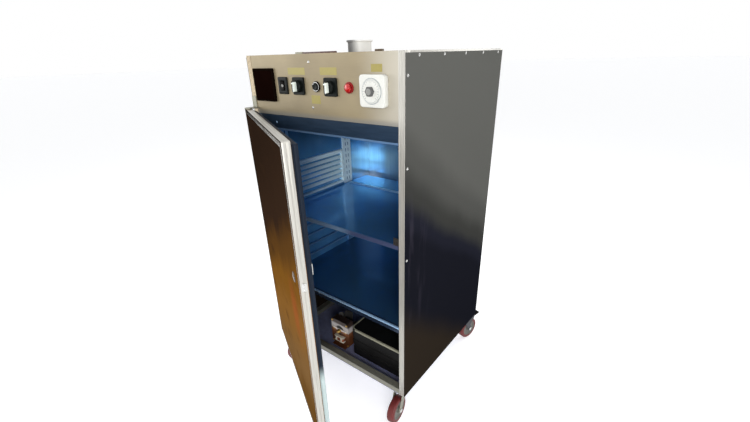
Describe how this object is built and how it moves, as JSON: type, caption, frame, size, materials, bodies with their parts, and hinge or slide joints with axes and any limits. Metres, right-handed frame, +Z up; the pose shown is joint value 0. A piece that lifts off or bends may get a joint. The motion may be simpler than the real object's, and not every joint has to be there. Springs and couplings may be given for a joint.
{
  "type": "egg incubator",
  "caption": "Free-standing egg incubator cabinet on swivel casters, with a hinged door, control panel, shelf, fan, heater and an open machine bay at the bottom.",
  "frame": {"origin": "on the floor, under the centre of the cabinet", "axes": "+Z up, +X to the cabinet's right seen from the front, the front looks along -Y"},
  "size_m": [0.6159, 0.9779, 1.274],
  "materials": {
    "post_aluminium": "satin",
    "door_edge": "satin",
    "black_enamel": "gloss",
    "door_enamel": "gloss",
    "grey_paint": "satin",
    "frame_paint": "satin",
    "pan_paint": "satin",
    "header_blue": "gloss",
    "champagne_panel": "satin",
    "liner_steel": "gloss",
    "shelf_steel": "gloss",
    "fitting_steel": "satin",
    "slab_board": "satin",
    "insulation": "matte",
    "gasket_rubber": "matte",
    "lock_chrome": "polished",
    "motor_paint": "satin",
    "fan_aluminium": "satin",
    "fan_steel": "satin",
    "heater_sheath": "satin",
    "wire_chrome": "polished",
    "motor_laminations": "satin",
    "copper_winding": "satin",
    "tank_plastic": "satin",
    "black_plastic": "satin",
    "grey_plastic": "satin",
    "display_case": "satin",
    "display_window": "gloss",
    "knob_black": "gloss",
    "bezel_metal": "satin",
    "pilot_red": "gloss",
    "white_plastic": "satin",
    "dial_white": "satin",
    "stack_white": "satin",
    "screw_chrome": "polished",
    "caster_steel": "satin",
    "caster_tyre": "matte",
    "pedal_plastic": "matte"
  },
  "bodies": {
    "cabinet": {"back_panel": "black_enamel", "base_frame": "frame_paint", "base_pan": "pan_paint", "blower_coil": "copper_winding", "blower_motor": "motor_laminations", "caster_plates": "caster_steel", "chamber_ceiling": "slab_board", "chamber_floor": "slab_board", "chamber_liner": "liner_steel", "control_fascia": "champagne_panel", "controller_case": "display_case", "controller_window": "display_window", "corner_posts": "post_aluminium", "fan_guard": "wire_chrome", "fan_motor": "motor_paint", "header_rail": "header_blue", "heater": "heater_sheath", "hinge_brackets": "fitting_steel", "humidifier_tank": "tank_plastic", "lock_keeper": "fitting_steel", "louvre_panel": "fitting_steel", "panel_screws": "screw_chrome", "pilot_lens": "pilot_red", "power_inlet": "black_plastic", "regulator_box": "white_plastic", "round_bezels": "bezel_metal", "sensor_probe": "fitting_steel", "shelf_supports": "fitting_steel", "side_panels": "black_enamel", "switch_frames": "black_plastic", "top_panel": "grey_paint", "top_trims": "post_aluminium", "tray_rails": "fitting_steel", "vent_stack": "stack_white", "wall_insulation": "insulation"},
    "door": {"door_skins": "door_enamel", "door_core": "insulation", "door_edge_frame": "door_edge", "door_gasket": "gasket_rubber", "lock_barrel": "lock_chrome"},
    "lock": {"lock_cam": "lock_chrome"},
    "shelf": {"mid_shelf": "shelf_steel"},
    "fan": {"fan_blades": "fan_aluminium"},
    "blower": {"blower_fan": "fan_steel"},
    "rocker": {"rocker": "grey_plastic"},
    "selector_left": {"selector_knob_left": "knob_black"},
    "selector_right": {"selector_knob_right": "knob_black"},
    "button": {"push_button": "knob_black"},
    "regulator": {"regulator_knob": "dial_white"},
    "fork_front_left": {"caster_fork_front_left": "caster_steel"},
    "wheel_front_left": {"caster_wheel_front_left": "caster_tyre"},
    "fork_front_right": {"caster_fork_front_right": "caster_steel"},
    "wheel_front_right": {"caster_wheel_front_right": "caster_tyre"},
    "fork_rear_left": {"caster_fork_rear_left": "caster_steel"},
    "wheel_rear_left": {"caster_wheel_rear_left": "caster_tyre"},
    "fork_rear_right": {"caster_fork_rear_right": "caster_steel"},
    "wheel_rear_right": {"caster_wheel_rear_right": "caster_tyre"},
    "brake_rear_left": {"brake_pedal_rear_left": "pedal_plastic"},
    "brake_rear_right": {"brake_pedal_rear_right": "pedal_plastic"}
  },
  "joints": [
    {"name": "door_hinge", "type": "hinge", "parent": "cabinet", "child": "door", "pos_m": [-0.299, -0.3215, 0.6], "axis": [0, 0, -1], "range_deg": [-28.5, 95]},
    {"name": "lock_turn", "type": "hinge", "parent": "door", "child": "lock", "pos_m": [0.17996, -0.58155, 0.738], "axis": [0.4772, 0.8788, 0], "range_deg": [0, 90]},
    {"name": "shelf_slide", "type": "slide", "parent": "cabinet", "child": "shelf", "axis": [0, -1, 0], "range_m": [0, 0.012]},
    {"name": "fan_spin", "type": "hinge", "parent": "cabinet", "child": "fan", "pos_m": [0.06, 0.24, 0.883], "axis": [0, 1, 0], "continuous": true},
    {"name": "blower_spin", "type": "hinge", "parent": "cabinet", "child": "blower", "pos_m": [-0.056, -0.2, 0.215], "axis": [0, 1, 0], "continuous": true},
    {"name": "rocker_tilt", "type": "hinge", "parent": "cabinet", "child": "rocker", "pos_m": [-0.138, -0.2965, 1.153], "axis": [1, 0, 0], "range_deg": [-7, 7]},
    {"name": "selector_left_turn", "type": "hinge", "parent": "cabinet", "child": "selector_left", "pos_m": [-0.068, -0.3, 1.153], "axis": [0, 1, 0], "range_deg": [-45, 45]},
    {"name": "selector_right_turn", "type": "hinge", "parent": "cabinet", "child": "selector_right", "pos_m": [0.061, -0.3, 1.153], "axis": [0, 1, 0], "range_deg": [-45, 45]},
    {"name": "button_press", "type": "slide", "parent": "cabinet", "child": "button", "axis": [0, 1, 0], "range_m": [0, 0.003], "stiffness_N_per_m": 400},
    {"name": "regulator_turn", "type": "hinge", "parent": "cabinet", "child": "regulator", "pos_m": [0.215, -0.31, 1.148], "axis": [0, 1, 0], "range_deg": [-135, 135]},
    {"name": "swivel_front_left", "type": "hinge", "parent": "cabinet", "child": "fork_front_left", "pos_m": [-0.262, -0.25, 0.13], "axis": [0, 0, 1], "continuous": true},
    {"name": "roll_front_left", "type": "hinge", "parent": "fork_front_left", "child": "wheel_front_left", "pos_m": [-0.26729, -0.28763, 0.05], "axis": [-0.9903, 0.1392, 0], "continuous": true},
    {"name": "swivel_front_right", "type": "hinge", "parent": "cabinet", "child": "fork_front_right", "pos_m": [0.262, -0.25, 0.13], "axis": [0, 0, 1], "continuous": true},
    {"name": "roll_front_right", "type": "hinge", "parent": "fork_front_right", "child": "wheel_front_right", "pos_m": [0.26597, -0.28779, 0.05], "axis": [-0.9945, -0.1045, 0], "continuous": true},
    {"name": "swivel_rear_left", "type": "hinge", "parent": "cabinet", "child": "fork_rear_left", "pos_m": [-0.262, 0.25, 0.13], "axis": [0, 0, 1], "continuous": true},
    {"name": "roll_rear_left", "type": "hinge", "parent": "fork_rear_left", "child": "wheel_rear_left", "pos_m": [-0.26663, 0.28772, 0.05], "axis": [0.9925, 0.1219, 0], "continuous": true},
    {"name": "brake_rear_left_press", "type": "hinge", "parent": "fork_rear_left", "child": "brake_rear_left", "pos_m": [-0.26931, 0.30955, 0.112], "axis": [0.9925, 0.1219, 0], "range_deg": [-12, 0]},
    {"name": "swivel_rear_right", "type": "hinge", "parent": "cabinet", "child": "fork_rear_right", "pos_m": [0.262, 0.25, 0.13], "axis": [0, 0, 1], "continuous": true},
    {"name": "roll_rear_right", "type": "hinge", "parent": "fork_rear_right", "child": "wheel_rear_right", "pos_m": [0.27119, 0.28687, 0.05], "axis": [0.9703, -0.2419, 0], "continuous": true},
    {"name": "brake_rear_right_press", "type": "hinge", "parent": "fork_rear_right", "child": "brake_rear_right", "pos_m": [0.27652, 0.30822, 0.112], "axis": [0.9703, -0.2419, 0], "range_deg": [-12, 0]}
  ]
}
